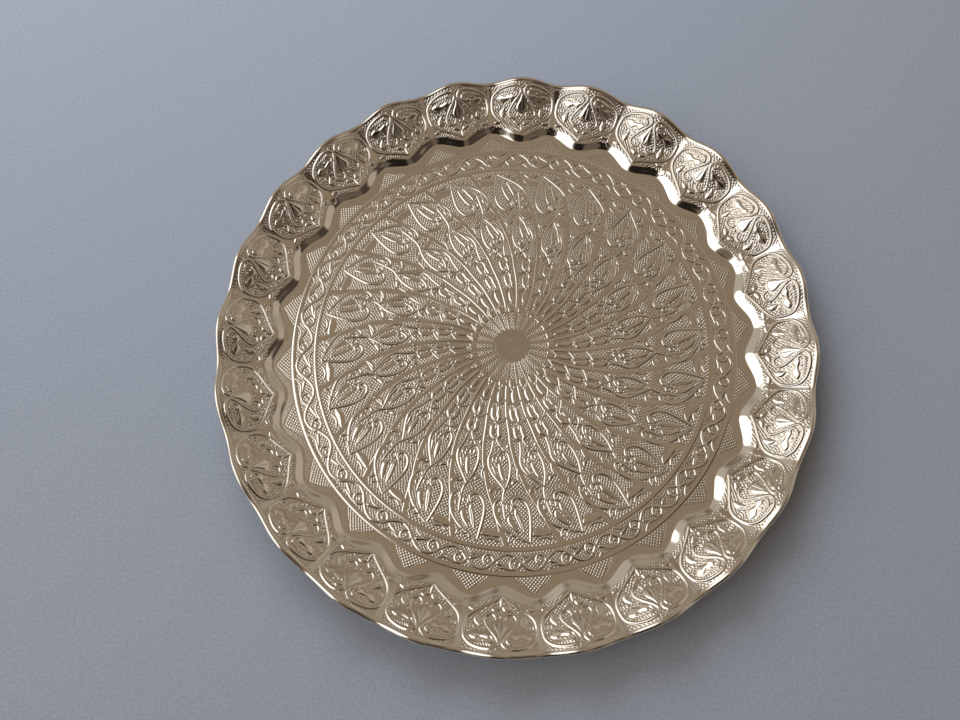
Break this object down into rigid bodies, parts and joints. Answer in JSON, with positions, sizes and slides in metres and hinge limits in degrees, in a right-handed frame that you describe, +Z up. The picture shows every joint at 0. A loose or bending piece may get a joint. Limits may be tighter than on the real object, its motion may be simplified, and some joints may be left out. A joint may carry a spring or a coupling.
{
  "type": "gadrooned pressed-metal serving tray",
  "caption": "Round shallow pressed-metal tray: flat ornamented well, pleated gadroon wall climbing outwards, edge curled over a wire.",
  "frame": {"origin": "centre of the flat underside, on the surface that the tray stands on", "axes": "+Z up along the tray's axis of symmetry; +X through the crest of one pleat"},
  "size_m": [0.3, 0.3, 0.0185],
  "materials": {
    "champagne_gold_sheet": "pale champagne-gold bright finish, satin on the stippled ground and mirror-bright on the raised bands, the pleats and the bead",
    "plain_steel_wire": "plain drawn steel wire, hidden inside the curled edge"
  },
  "bodies": {
    "root": {"pressed_tray": "champagne_gold_sheet", "rim_wire": "plain_steel_wire"}
  },
  "joints": []
}
